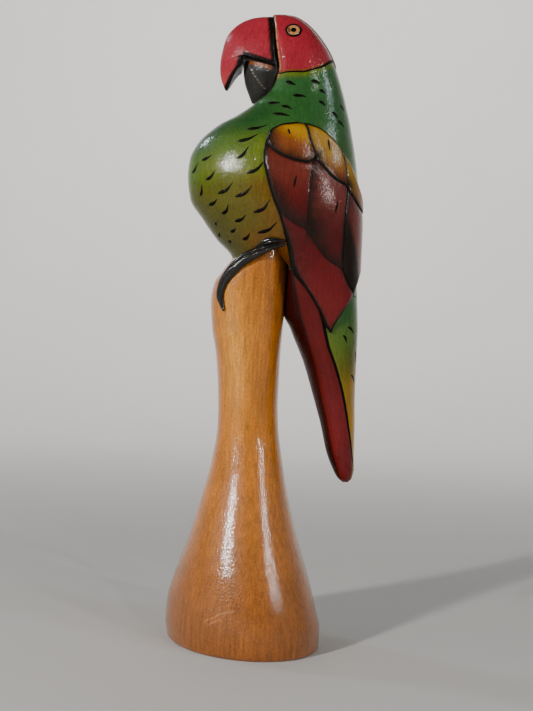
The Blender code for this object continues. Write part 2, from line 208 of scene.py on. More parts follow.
# Wings: height: (front edge, rear edge)
WING_EDGES = {
    149.4: (100, 103),
    152: (95, 106.5),
    157.3: (91, 117.5),
    164: (87, 135),
    169.4: (83, 148),
    175: (77.3, 162),
    180: (76, 174.5),
    192: (78.5, 175.5),
    205.4: (80.2, 175.5),
    212: (79.8, 173),
    219: (79.2, 160.5),
    227.4: (77.6, 149),
    234.6: (78, 138),
    240.2: (79, 125),
    243: (84, 115),
    244.6: (96, 104),
}
WING_PROUD = 2.2
WING_ROUND = 2.4  # how far in from its edge a wing reaches that height
WING_BACK = 0.45  # from the trunk to the wing's inside
# The left foot's long toe, from the belly to the tip of its claw: (x, y, z, width, thickness)
CLAW = {
    0: (10.6, -22.3, 188.7, 1.6, 1.2),
    1: (4.4, -21.4, 187.1, 2.8, 1.8),
    2: (-2.4, -19.4, 184.4, 5, 2.5),
    3: (-8.8, -18.2, 180.6, 5.8, 2.5),
    4: (-13.8, -16.7, 175.4, 5.6, 2.4),
    5: (-17.2, -15, 169.8, 5.2, 2.2),
    6: (-18.4, -14.3, 164.2, 4.4, 1.9),
    7: (-16.4, -15.8, 156.8, 1, 0.8),
}
CLAW_AXIS_X = -4.0  # toes face away from this upright axis
# The toe above it, a leaf that runs from the claw's back to the wing
TOE = {
    0: (10.8, -22.3, 190.3, 0.8, 0.8),
    1: (6.4, -22, 190.3, 2.6, 1.7),
    2: (2.2, -20.9, 189.6, 3.6, 1.9),
    3: (-1.6, -19.6, 187.6, 1.6, 1.4),
    4: (-4.6, -18.9, 185.4, 1, 1.2),
}
SEEDS = 12

# Paint, as the colour that the surface reflects
DARK = (0.004, 0.003, 0.002)
SOOT = (0.026, 0.025, 0.023)
CLAW_BLACK = (0.0085, 0.0075, 0.006)
CREASE_GLINT_GREY = (0.16, 0.14, 0.11)
BURNT = (0.010, 0.0045, 0.002)
GREEN = (0.018, 0.085, 0.018)
DEEP_GREEN = (0.004, 0.042, 0.013)
LEAF = (0.060, 0.130, 0.012)
LIME = (0.105, 0.142, 0.002)
OLIVE = (0.080, 0.074, 0.0005)
# painted shade, for the low front of the breast
SHADED_OLIVE = (0.055, 0.056, 0.006)
OCHRE = (0.120, 0.046, 0.0003)
GOLD = (0.30, 0.155, 0.004)
YELLOW = (0.38, 0.19, 0.001)
ORANGE = (0.19, 0.048, 0.008)
ROSE = (0.125, 0.018, 0.014)
BRICK = (0.120, 0.018, 0.010)
CRIMSON = (0.072, 0.0025, 0.003)
WINE = (0.022, 0.001, 0.0008)
SCARLET = (0.085, 0.0005, 0.0003)
TAIL_RED = (0.13, 0.006, 0.007)
FACE_RED = (0.28, 0.015, 0.026)
BEAK_RED = (0.28, 0.018, 0.030)
BEAK_TIP = (0.34, 0.042, 0.048)
TAN = (0.42, 0.19, 0.07)
RUST = (0.17, 0.045, 0.006)
# painted sheen, laid on the front of the post's grip
SHEEN_HONEY = (0.70, 0.30, 0.015)
AMBER = (0.46, 0.145, 0.006)

# Spots of colour that blend into each other: angle, height, colour
DEGREE = 0.45  # length of a degree round the bird
SPOT_REACH = 7.0
# the darker olive spots low on the front of the breast are painted shade, where it turns away from the
# light
BODY_SPOTS = (
    (20, 245, DEEP_GREEN), (60, 245, DEEP_GREEN), (100, 250, GREEN), (150, 250, GREEN),
    (25, 236, DEEP_GREEN), (55, 233, LEAF), (72, 234, LIME), (75, 243, GREEN),
    (20, 222, LEAF), (45, 222, LIME), (70, 224, LIME),
    (15, 208, SHADED_OLIVE), (40, 210, OLIVE), (60, 212, OLIVE), (78, 214, OCHRE),
    (15, 196, SHADED_OLIVE), (40, 196, SHADED_OLIVE), (60, 200, OLIVE), (78, 200, OCHRE),
    (30, 186, SHADED_OLIVE), (60, 190, OCHRE), (78, 188, OCHRE),
    (90, 262, GREEN), (60, 262, GREEN), (140, 265, GREEN), (180, 268, GREEN),
    (180, 240, GREEN), (180, 200, GREEN), (150, 215, GREEN), (180, 170, GREEN), (130, 170, GREEN),
)
TAIL_SPOTS = (
    (180, 170, GREEN), (130, 160, GREEN), (180, 150, LEAF), (135, 145, LEAF),
    (180, 138, LIME), (140, 138, OLIVE), (180, 122, GOLD), (150, 122, GOLD),
    (180, 105, YELLOW), (180, 86, ORANGE), (150, 100, YELLOW),
)


def smooth(table, at):
    """A table's values at some heights, on a curve through its rows that never swings past them."""
    keys = np.array(sorted(table), float)
    rows = np.array([table[key] for key in sorted(table)], float)
    steps = np.diff(rows, axis=0) / np.diff(keys)[:, None]
    before, after = steps[:-1], steps[1:]
    same = before * after > 0
    inner = np.where(same, 2 * before * after / np.where(same, before + after, 1), 0)
    slopes = np.vstack([steps[:1], inner, steps[-1:]])
    at = np.clip(np.asarray(at, float), keys[0], keys[-1])
    low = np.clip(np.searchsorted(keys, at, side="right") - 1, 0, len(keys) - 2)
    span = (keys[low + 1] - keys[low])[..., None]
    t = (at - keys[low])[..., None] / span
    values = rows[low] * (1 + 2 * t) * (1 - t) ** 2 + slopes[low] * span * t * (1 - t) ** 2
    values += rows[low + 1] * t * t * (3 - 2 * t) + slopes[low + 1] * span * t * t * (t - 1)
    return np.moveaxis(values, -1, 0)


def bend(table, at):
    """A table's values at some places, straight between its rows."""
    return np.interp(at, list(table), list(table.values()))


def joint(line, x):
    """Height of a sloping joint."""
    return line[0] + line[1] * x


def from_front(angle):
    """Degrees from the front, the same on both sides."""
    return np.where(angle > 180, 360 - angle, angle)


def turns(count):
    """Angles round a piece."""
    return np.linspace(0, 360, count, endpoint=False)


def drawn(border):
    """A border's (angle, height) points, from its top down."""
    return tuple((angle, height) for height, angle in reversed(border.items()))


def part(border, first, last):
    """A border's (angle, height) points between two angles."""
    return tuple(point for point in border.items() if first <= point[0] <= last)


def rounded(angle, roundness):
    """Cosine and sine of a superellipse's parameter."""
    c, s = np.cos(angle), np.sin(angle)
    return np.sign(c) * np.abs(c) ** (2 / roundness), np.sign(s) * np.abs(s) ** (2 / roundness)


def trunk(angle, height, fronts=BODY_FRONT):
    """Points on the bird's trunk."""
    angle, height = np.broadcast_arrays(np.asarray(angle, float), np.asarray(height, float))
    turned = np.radians(angle)
    back, widest, half, back_round = smooth(TRUNK, height)
    front, front_round = smooth(fronts, height)
    ahead = np.cos(turned) >= 0
    along, across = rounded(turned, np.where(ahead, front_round, back_round))
    x = widest - np.where(ahead, widest - front, back - widest) * along
    return np.stack([x, -half * across, height], -1)


def tail(angle, height):
    return trunk(angle, height, TAIL_FRONT)


def post(angle, height):
    """Points on the post."""
    front, back, half, slope, skew, roundness = smooth(POST, height)
    middle = (front + back) / 2
    turned = np.radians(angle)
    along = rounded(turned, roundness)[0]
    across = rounded(turned + np.radians(skew), roundness)[1]
    x = middle - (back - front) / 2 * along
    return np.stack([x, -half * across, height + slope * (x - middle)], -1)


def unit(vectors):
    return vectors / np.maximum(np.linalg.norm(vectors, axis=-1, keepdims=True), 1e-9)


def outward(surface, angle, height):
    """Directions that point out of a surface."""
    angle, height = np.broadcast_arrays(np.asarray(angle, float), np.asarray(height, float))
    point = surface(angle, height)
    along = surface(angle + 0.2, height) - point
    up = surface(angle, height + 0.05) - point
    return unit(np.cross(along, up))


def ramp(low, high, value):
    """0 at low, 1 at high, and smooth between them."""
    t = np.clip((value - low) / (high - low), 0, 1)
    return t * t * (3 - 2 * t)


def mix(colours, other, share):
    """Colours with a share of another laid over them."""
    share = np.asarray(share)[..., None]
    return np.asarray(colours) * (1 - share) + np.asarray(other) * share


def spots(table, angle, height):
    """A blend of spots of colour, each strongest at its own place."""
    total = np.zeros(np.shape(angle) + (1,))
    colours = np.zeros(np.shape(angle) + (3,))
    for spot_angle, spot_height, colour in table:
        away = ((angle - spot_angle) * DEGREE) ** 2 + (height - spot_height) ** 2
        weight = (1 / (away + SPOT_REACH**2) ** 2)[..., None]
        total += weight
        colours += weight * np.array(colour)
    return colours / total


def mirror(points, side):
    """The left side's points, or the same on the right where side is 1."""
    return points * np.array([1, -side, 1])


def add(name, data):
    """A new object in the scene."""
    made = bpy.data.objects.new(name, data)
    bpy.context.scene.collection.objects.link(made)
    return made


def solid(name, vertices, faces, material):
    """A smooth mesh as an object, in metres."""
    mesh = bpy.data.meshes.new(name)
    mesh.from_pydata(vertices.tolist(), [], faces)
    mesh.shade_smooth()
    mesh.materials.append(material)
    return add(name, mesh)


def finish_mesh(name, vertices, faces, colours, material, node):
    """Makes a piece from its mesh and paint. It rides on the rattle in place of its node."""
    piece = solid(name, vertices * MM, faces, material)
    paint = piece.data.color_attributes.new("paint", "FLOAT_COLOR", "POINT")
    values = np.ones((len(vertices), 4), np.float32)
    values[:, :3] = colours
    paint.data.foreach_set("color", values.ravel())
    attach(piece, BODY)
    if node:
        check_box(name, vertices, node)
        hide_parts(node)
    return piece


def check_box(name, vertices, node):
    """Stops the script if a piece isn't where its node is."""
    low, high = (np.array(corner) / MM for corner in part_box(node))
    over = max((low - vertices.min(0)).max(), (vertices.max(0) - high).max())
    if over > BOX_SLACK:
        raise ValueError(f"{name} leaves the box of {node} by {over:.2f} mm")


def ring_faces(rows, count, flip=False):
    """Faces of a closed skin: quads between its rings, and one face over each end."""
    index = np.arange(rows * count).reshape(rows, count)
    beside = np.roll(index, -1, axis=1)
    quads = np.stack([index[:-1], beside[:-1], beside[1:], index[1:]], -1).reshape(-1, 4)
    ends = [index[0][::-1].tolist(), index[-1].tolist()]
    faces = quads.tolist() + ends
    return [face[::-1] for face in faces] if flip else faces


def skin(name, rings, colours, material, node, flip=False):
    """A closed solid through rings of points, each with its colour."""
    faces = ring_faces(*rings.shape[:2], flip)
    return finish_mesh(name, rings.reshape(-1, 3), faces, colours.reshape(-1, 3), material, node)


def node_tree(name):
    """A new material, its nodes and its links."""
    made = bpy.data.materials.new(name)
    made.use_nodes = True
    return made, made.node_tree.nodes, made.node_tree.links


def noise(nodes, links, place, scale, detail, stretch=(1, 1, 1)):
    """Noise over the object, drawn out along an axis where the stretch is small."""
    mapping = nodes.new("ShaderNodeMapping")
    mapping.inputs["Scale"].default_value = stretch
    links.new(place, mapping.inputs["Vector"])
    texture = nodes.new("ShaderNodeTexNoise")
    texture.inputs["Scale"].default_value = scale
    texture.inputs["Detail"].default_value = detail
    links.new(mapping.outputs["Vector"], texture.inputs["Vector"])
    return texture.outputs["Fac"]


def spread(nodes, links, value, low, high, least=0.3, most=0.7):
    """A value from least to most, mapped to low to high."""
    mapped = nodes.new("ShaderNodeMapRange")
    mapped.inputs["From Min"].default_value = least
    mapped.inputs["From Max"].default_value = most
    mapped.inputs["To Min"].default_value = low
    mapped.inputs["To Max"].default_value = high
    links.new(value, mapped.inputs["Value"])
    return mapped.outputs["Result"]


def times(nodes, links, first, second):
    """Two values multiplied."""
    product = nodes.new("ShaderNodeMath")
    product.operation = "MULTIPLY"
    links.new(first, product.inputs[0])
    links.new(second, product.inputs[1])
    return product.outputs["Value"]


def bumped(nodes, links, height, depth, strength=1.0):
    """Normals over a surface that rises and falls by a depth, in metres."""
    bump = nodes.new("ShaderNodeBump")
    bump.inputs["Strength"].default_value = strength
    bump.inputs["Distance"].default_value = depth
    links.new(height, bump.inputs["Height"])
    return bump.outputs["Normal"]


def varnished(name, sheen, coat, index, grain, ripple, film, streak):
    """Paint or bare wood under varnish, with the paint laid on the mesh and grain from noise."""
    made, nodes, links = node_tree(name)
    shader = nodes["Principled BSDF"]
    place = nodes.new("ShaderNodeTexCoord").outputs["Object"]
    paint = nodes.new("ShaderNodeVertexColor")
    paint.layer_name = "paint"
    fibres = noise(nodes, links, place, scale=900.0, detail=3.0, stretch=(1, 1, streak))
    pores = noise(nodes, links, place, scale=2400.0, detail=2.0, stretch=(1, 1, 0.35))
    blotches = noise(nodes, links, place, scale=90.0, detail=4.0, stretch=(1, 1, 0.6))
    waves = noise(nodes, links, place, scale=1600.0, detail=2.0, stretch=(1, 1, 0.6))
    shade = nodes.new("ShaderNodeMix")
    shade.data_type = "RGBA"
    shade.blend_type = "MULTIPLY"
    shade.inputs["Factor"].default_value = 1.0
    links.new(paint.outputs["Color"], shade.inputs["A"])
    tone = spread(nodes, links, blotches, 0.86, 1.1)
    for fine in (fibres, pores):
        tone = times(nodes, links, tone, spread(nodes, links, fine, 1 - grain, 1 + grain))
    links.new(tone, shade.inputs["B"])
    links.new(shade.outputs["Result"], shader.inputs["Base Color"])
    links.new(spread(nodes, links, blotches, 0.26, 0.36), shader.inputs["Roughness"])
    shader.inputs["Specular IOR Level"].default_value = sheen
    # burnt wood is matt, and paint takes the varnish
    varnish = spread(nodes, links, paint.outputs["Color"], coat * 0.2, coat, least=0.004, most=0.008)
    links.new(varnish, shader.inputs["Coat Weight"])
    shader.inputs["Coat IOR"].default_value = index
    shader.inputs["Coat Roughness"].default_value = 0.06
    links.new(bumped(nodes, links, waves, ripple), shader.inputs["Normal"])
    links.new(bumped(nodes, links, waves, film), shader.inputs["Coat Normal"])
    return made


def near(points, line):
    """How far each point is from a line of samples, and its side: above 0 below or in front of it."""
    flat = points.reshape(-1, 3)
    places, tangents, normals = line
    best = np.full(len(flat), np.inf)
    which = np.zeros(len(flat), int)
    for number, place in enumerate(places):
        away = ((flat - place) ** 2).sum(1)
        closer = away < best
        best[closer] = away[closer]
        which[closer] = number
    across = np.cross(tangents, normals)[which]
    side = np.sign(((flat - places[which]) * across).sum(1))
    shape = points.shape[:-1]
    return np.sqrt(best).reshape(shape), side.reshape(shape), which.reshape(shape) / len(places)


def traced(points, surface, proud=0.0, spacing=0.5):
    """Samples along a smooth line drawn on a surface through (angle, height) points."""
    fine = smooth(dict(enumerate(points)), np.linspace(0, len(points) - 1, 12 * len(points)))
    lengths = np.linalg.norm(np.diff(surface(*fine), axis=0), axis=1)
    run = np.concatenate([[0], np.cumsum(lengths)])
    even = np.linspace(0, run[-1], max(4, int(run[-1] / spacing)))
    angle, height = (np.interp(even, run, row) for row in fine)
    normals = outward(surface, angle, height)
    places = surface(angle, height) + normals * proud
    return places, unit(np.gradient(places, axis=0)), normals


# Scratches in the foot, as (angle, height) points: shallow grooves, lighter along them as rubbed wood and
# as a painted highlight where they catch the light
SCRATCH_DEPTH = 0.12
SCRATCH_REACH = 0.35
POST_SCRATCHES = (
    ((63, 15.2), (70, 17.6), (78, 20.4), (86.5, 22.0)),
    ((66, 14.2), (71, 16.0), (76, 17.6)),
    ((118, 46), (121, 40), (123, 36)),
)


def make_post(material):
    """Foot, grip and perch, then the joint under the bird and the tenon that plugs it."""
    angles = turns(260)
    levels = np.concatenate([np.linspace(0, FOOT_RIM, 4), np.linspace(1.5, max(POST), 330)])
    angle, height = np.meshgrid(angles, levels)
    rings = post(angle, height)
    out = outward(post, angle, height)
    wobble = np.sin(np.radians(3 * angle + 40 + height)) * np.sin(height / 9.0) * ramp(0, 8, height)
    rings[..., :2] += out[..., :2] * (WOBBLE * wobble)[..., None]
    # painted shade: the wood darkens towards the foot, where less light falls
    colours = mix(AMBER, RUST, 0.7 * ramp(100, 0, height))
    colours = mix(colours, RUST, 0.4 * ramp(145, 182, height))
    # painted sheen: a lighter golden patch on the grip, where the varnish catches the lamp
    pale = np.exp(-(((angle - 68) / 26) ** 2) - ((height - 138) / 34) ** 2)
    colours = mix(colours, SHEEN_HONEY, 0.6 * pale)
    for scratch in POST_SCRATCHES:
        away = near(rings, traced(scratch, post))[0]
        rings = rings - out * (SCRATCH_DEPTH * np.exp(-((away / SCRATCH_REACH) ** 2)))[..., None]
        # tan in the scratches: rubbed wood, and a painted highlight
        colours = mix(colours, TAN, 0.7 * ramp(0.5, 0.2, away))
    bottom = np.array([rings[0] * np.array([share, share, 1]) for share in (0.02, 0.5, 0.97)])
    plug = tenon(angles)
    rings = np.concatenate([bottom, rings, plug])
    colours = np.concatenate([
        np.broadcast_to(RUST, bottom.shape), colours, np.broadcast_to(AMBER, plug.shape),
    ])
    return skin("post", rings, colours, material, "handle_post")


def tenon(angles):
    """Rings from the joint under the bird, up and over the tenon."""
    turned = np.radians(angles)
    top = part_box("handle_post")[1].z / MM
    rings = []
    for radius, level in (
        (TENON_RADIUS, None), (TENON_RADIUS, top - TENON_CHAMFER), (TENON_RADIUS - TENON_CHAMFER, top),
        (TENON_RADIUS / 2, top), (0.2, top),
    ):
        x = CHAMBER_X - radius * np.cos(turned)
        z = joint(PERCH_LINE, x) if level is None else np.full_like(x, level)
        rings.append(np.stack([x, -radius * np.sin(turned), z], -1))
    return np.array(rings)


def cut_height(points):
    """The height of the joint under the body, over the post or over the tail."""
    x = points[..., 0]
    return np.where(x < RUMP_FRONT, joint(PERCH_LINE, x) + GAP, joint(TAIL_LINE, x))


def body_levels(angles):
    """For each angle, heights from the joint under the body to the top of the head."""
    tried = np.linspace(160, 200, 801)[:, None]
    under = tried < cut_height(trunk(angles[None, :], tried))
    start = tried[len(tried) - 1 - under[::-1].argmax(0), 0]
    share = np.linspace(0, 1, 290)[:, None]
    closing = np.sin(np.linspace(0, math.pi / 2, 46)[1:])[:, None]
    top = np.broadcast_to(DOME + (CROWN - DOME) * closing, (len(closing), len(angles)))
    return np.vstack([start + (DOME - start) * share, top])


# Height of the face's lower edge, at angles from the front
FACE_EDGE = {
    0: 272.5, 44.5: 269.0, 75.5: 269.5, 90: 270.0, 103.5: 271.5, 120: 273.5, 139: 276.5, 180: 280.0,
}
# How far the painted shade in the hollow behind the bills reaches, at heights up the face
HOLLOW_SHADE = {258: 1.0, 264: 1.6, 270: 1.6, 276: 0.9, 300: 0.7}


def crown_ridge(turned, height, y):
    """Share of the burnt ridge that runs over the crown to the nape."""
    over_face = ramp(-4, -2, height - bend(FACE_EDGE, turned))
    return ramp(RIDGE_HALF, RIDGE_HALF - 0.8, y) * (turned > 90) * over_face


def body_paint(angle, height, points):
    """Green neck and back, a breast that turns yellow towards the belly, and a red face."""
    turned = from_front(angle)
    x, y = points[..., 0], np.abs(points[..., 1])
    colours = spots(BODY_SPOTS, turned, height)
    up = height - bend(FACE_EDGE, turned)
    colours = mix(colours, LIME, 0.8 * ramp(-4.0, -0.5, up) * (up < 0))
    colours = mix(colours, FACE_RED, ramp(-0.3, 0.3, up))
    colours = mix(colours, RUST, 0.8 * ramp(1.6, 0.9, up) * (up > 0) * (turned > 50))
    # bare wood on the rump, between the claw and the wing, turning dark further back: painted shade in the
    # gap under the wing
    rump = ramp(187.6, 186.8, height - 0.34 * x) * ramp(56, 60, turned) * (turned < 120)
    colours = mix(colours, mix(AMBER, DARK, ramp(11.4, 12.4, x)), rump)
    # painted shade: the face and neck go dark in the hollow just behind the bills
    past = x - smooth(BODY_FRONT, height)[0] - bend(HOLLOW_SHADE, height)
    colours = mix(colours, DARK, ramp(0.5, 0.0, past) * ramp(257.5, 259, height) * (turned < 80))
    # the corner between the face and the bill: a painted highlight along it where it catches the light,
    # broken up, and paint rubbed to the wood
    worn_and_glint = ramp(0.0, 0.2, past) * ramp(0.9, 0.5, past) * ramp(266, 269, height) * (turned < 80)
    glint_breaks = 0.5 + 0.5 * np.sin(height * 2.1) * np.sin(height * 0.83 + 1.0)
    colours = mix(colours, TAN, worn_and_glint * ramp(0.1, 0.45, glint_breaks))
    colours = mix(colours, RUST, crown_ridge(turned, height, y - 0.8))
    return mix(colours, DARK, crown_ridge(turned, height, y))


def chamber(angles, edge):
    """Rings from the drill's point down the bore, then out under the body, by the step behind the post."""
    turned = np.radians(angles)
    x = CHAMBER_X - CHAMBER_RADIUS * np.cos(turned)
    y = -CHAMBER_RADIUS * np.sin(turned)
    level = np.full_like(x, CHAMBER_CEILING)
    tip = np.column_stack([CHAMBER_X + (x - CHAMBER_X) * 0.02, y * 0.02, level + DRILL_TIP])
    ceiling = np.column_stack([x, y, level])
    rim = np.column_stack([x, y, joint(PERCH_LINE, x) + GAP])
    behind = edge[:, 0] > RUMP_FRONT
    share = np.where(behind, (edge[:, 0] - RUMP_FRONT) / np.maximum(edge[:, 0] - x, 1e-6), 0.5)
    high = edge + (rim - edge) * share[:, None]
    high[:, 2] = joint(PERCH_LINE, high[:, 0]) + GAP
    low = high.copy()
    low[behind, 2] = joint(TAIL_LINE, RUMP_FRONT)
    return np.array([tip, ceiling, rim, high, low])


def make_body(material):
    """The bird's shell: outside, joint, and the chamber bored into it from below."""
    angles = turns(280)
    height = body_levels(angles)
    angle = np.broadcast_to(angles, height.shape)
    outside = trunk(angle, height)
    colours = body_paint(angle, height, outside)
    ridge = crown_ridge(from_front(angle), height, np.abs(outside[..., 1])) * ramp(301, 299, height)
    outside = outside + outward(trunk, angle, height) * (RIDGE_HEIGHT * ridge)[..., None]
    middle = np.array([TRUNK[CROWN][1], 0, 0])
    crown = [middle * (1 - share) + outside[-1] * np.array([share, share, 1]) for share in (0.5, 0.05)]
    inside = chamber(angles, outside[0])
    # painted shade: the underside is wood-coloured in front and darkened behind, in the gap under the wing
    bare = mix(AMBER, DARK, ramp(10.5, 12.5, inside[..., 0]))
    colours[0] = bare[-1]
    colours = np.concatenate([bare, colours, np.broadcast_to(FACE_RED, (2, len(angles), 3))])
    return skin("body", np.concatenate([inside, outside, crown]), colours, material, "bird_body")


# On the tail, angles from the front at heights up it: the line between its red side and its back, and the
# edge in front of which the side is in shadow
TAIL_SIDE = {92: 139, 106.5: 117.5, 120.5: 108.5, 134.5: 101, 143.5: 94.5, 156.5: 92.5, 170: 88, 176.5: 62}
TAIL_SHADOW = {86: 52, 98.5: 48, 117.5: 48, 129: 51.5, 141: 55, 152.5: 59.5, 163.5: 63, 174: 64.5}


def shrunk(ring, share):
    """A ring drawn in towards its middle."""
    return ring.mean(0) * (1 - share) + ring * share


def make_tail(material):
    """The long wedge behind the post, cut off where the body sits on it."""
    angles = turns(240)
    stop = np.full(len(angles), 172.0)
    for _ in range(30):
        stop = 0.5 * stop + 0.5 * (joint(TAIL_LINE, tail(angles, stop)[..., 0]) - GAP)
    height = TAIL_TIP + (stop - TAIL_TIP) * np.linspace(0, 1, 300)[:, None] ** 1.15
    angle = np.broadcast_to(angles, height.shape)
    rings = tail(angle, height)
    turned = from_front(angle)
    rings[..., 0] -= TAIL_TOUCH * ramp(150, 158, height) * ramp(60, 30, turned)
    red = mix(SCARLET, TAIL_RED, ramp(140, 105, height))
    red = mix(red, WINE, ramp(2, -6, turned - bend(TAIL_SHADOW, height)))
    beside = (turned < bend(TAIL_SIDE, height))[..., None]
    colours = np.where(beside, red, spots(TAIL_SPOTS, turned, height))
    below = [shrunk(rings[0], share) for share in (0.05, 0.6)]
    above = [shrunk(rings[-1], share) for share in (0.6, 0.05)]
    rings = np.concatenate([below, rings, above])
    colours = np.pad(colours, ((2, 2), (0, 0), (0, 0)), mode="edge")
    return skin("tail_wedge", rings, colours, material, "tail")


def beak(table, angle, height):
    """Points on a bill: rounded in front, flat where it meets the face, the mouth sloping down to it."""
    front, back, half = smooth(table, height)
    edge = np.arccos((FACE - back) / (FACE - front))
    turned = np.radians(angle)
    ahead = np.cos(turned) >= 0
    swing = np.where(ahead, np.arcsin(np.sin(turned)), math.pi / 2)
    beyond = np.clip((np.abs(swing) - edge) / np.maximum(math.pi / 2 - edge, 1e-4), 0, 1)
    x = FACE - (FACE - front) * np.cos(np.minimum(np.abs(swing), edge))
    side = half * np.sin(swing) / np.sin(edge)
    flat = half * np.sign(swing) * (1 - 0.4 * beyond)
    y = np.where(ahead, np.where(beyond > 0, flat, side), half * np.sin(turned) * (1 - 0.4 * beyond))
    x = np.minimum(x, smooth(BODY_FRONT, height)[0] + FACE_TOUCH)
    along = np.clip(x, MOUTH_FRONT, MOUTH_REAR) - MOUTH_MIDDLE
    sloping = ramp(-23, -15, x) * ramp(288, 279, height) * ramp(262, 275, height)
    lifted = height + MOUTH_SLOPE * along * sloping
    x = np.minimum(x, smooth(BODY_FRONT, lifted)[0] + FACE_TOUCH)
    return np.stack([x, -y, lifted], -1)


def bill(table):
    """A bill's rings of points, their heights, and how far they are in front of the bill's back."""
    angle, height = np.meshgrid(turns(180), np.linspace(min(table), max(table), 190))
    rings = beak(table, angle, height)
    return rings, height, rings[..., 0].max(1)[:, None] - rings[..., 0]


def make_upper_bill(material):
    """The hooked red bill, with its burnt edges along the face and the mouth."""
    rings, height, ahead = bill(UPPER_BEAK)
    colours = mix(BEAK_RED, BEAK_TIP, ramp(276, 266, height))
    colours = mix(colours, BURNT, ramp(3.0, 2.0, ahead))
    colours = mix(colours, DARK, ramp(2.0, 1.3, ahead))
    roof = (height > MOUTH) * ramp(-14.6, -13.9, rings[..., 0])
    colours = mix(colours, BURNT, ramp(278.7, 277.9, height) * roof)
    colours = mix(colours, DARK, ramp(278.1, 277.5, height) * roof)
    skin("bill_upper", rings, colours, material, "upper_beak")


def make_lower_bill(material):
    """Black lower bill: painted shade behind, a raised crease with a painted highlight, and a burnt rim."""
    rings, height, ahead = bill(LOWER_BEAK)
    x = rings[..., 0]
    away = near(rings, traced(BILL_CREASE, lambda angle, level: beak(LOWER_BEAK, angle, level)))[0]
    raised = 0.3 * np.exp(-((away / 0.45) ** 2))
    rings = rings + unit(rings - rings.mean(1, keepdims=True)) * raised[..., None]
    # painted shade: darker towards the back, on the side that faces away from the light
    colours = mix(SOOT, DARK, 0.6 * ramp(-6.0, -2.0, x))
    # painted highlight: pale broken dots along the crease, where its ridge catches the light
    glint_breaks = ramp(0.2, 0.5, 0.5 + 0.5 * np.sin(height * 5.0))
    colours = mix(colours, CREASE_GLINT_GREY, 0.8 * ramp(0.4, 0.2, away) * glint_breaks)
    rim = ramp(274.0, 274.5, height) * ramp(1.8, 2.3, ahead) * ramp(-11.5, -10.5, x)
    skin("bill_lower", rings, mix(colours, RUST, rim), material, "lower_beak")


# Borders between the wing's feathers: heights at angles across it, then angles at heights up it
UPPER_END = {
    76: 235, 79.5: 233.5, 84.5: 230.5, 90: 228, 97.5: 226.5, 104.5: 226, 110: 227, 112: 228.5, 116.5: 225,
    122: 221.5, 129.5: 219, 139.5: 217.5, 145: 213.5, 154: 209.5, 180: 206,
}
MIDDLE_END = {
    76: 206, 81.5: 203.5, 84: 201, 88.5: 198, 94: 196, 97.5: 191, 102.5: 186, 110.5: 182, 122.5: 179.5,
    127: 178.5, 130.5: 175, 134: 172, 141: 169, 150: 160,
}
UPPER_BORDERS = (
    {228.5: 112, 233: 110, 237.5: 107.5, 242: 104.5, 244.5: 101},
    {217.5: 139.5, 221.5: 140, 227: 139, 232.5: 137, 237.5: 133, 241: 127.5},
)
MIDDLE_BORDERS = (
    {196: 94, 203: 98.5, 209.5: 102, 215.5: 104.5, 221: 106.5, 226.5: 109},
    {178.5: 127, 183: 126.5, 190.5: 129, 200: 132, 209: 136, 217: 140},
)
SCORCHED = {165: 166, 178: 157, 190: 149, 200: 140, 212: 131}  # behind it the rear feather is burnt


def row_of_feathers(angle, height, borders, feathers):
    """Three feathers side by side."""
    front, middle, rear = feathers
    first, second = (bend(border, height) for border in borders)
    return np.where((angle < first)[..., None], front, np.where((angle < second)[..., None], middle, rear))


def upper_feathers(angle, height):
    """The yellow row at the shoulder."""
    front = mix(ORANGE, YELLOW, ramp(234, 241, height + 0.25 * (angle - 96)))
    flecks = 0.65 + 0.35 * np.sin(angle * 3.1 + height) * np.sin(height * 2.3 - angle * 0.7)
    front = mix(front, BURNT, 0.9 * flecks * ramp(88, 80, angle) * ramp(243, 238, height))
    middle = mix(ORANGE, GOLD, ramp(220, 232, height))
    rear = mix(ORANGE, GOLD, ramp(208, 224, height))
    return row_of_feathers(angle, height, UPPER_BORDERS, (front, middle, rear))


def middle_feathers(angle, height):
    """The dark red row below it."""
    front = mix(CRIMSON, BRICK, ramp(205, 224, height))
    front = mix(front, BURNT, 0.8 * ramp(92, 80, angle) * ramp(224, 212, height))
    middle = mix(CRIMSON, ROSE, ramp(192, 212, height))
    middle = mix(middle, BURNT, 0.6 * ramp(205, 186, height) * ramp(118, 104, angle))
    rear = mix(ROSE, CRIMSON, ramp(180, 170, height))
    rear = mix(rear, DARK, 0.95 * ramp(4, -5, angle - bend(SCORCHED, height)))
    return row_of_feathers(angle, height, MIDDLE_BORDERS, (front, middle, rear))


def wing_cells(angle, height):
    """Colours of the wing's feathers, before their edges are burnt."""
    lower = mix(TAIL_RED, CRIMSON, ramp(168, 192, height))
    below = (height < bend(MIDDLE_END, angle))[..., None]
    colours = np.where(below, lower, middle_feathers(angle, height))
    return np.where((height > bend(UPPER_END, angle))[..., None], upper_feathers(angle, height), colours)


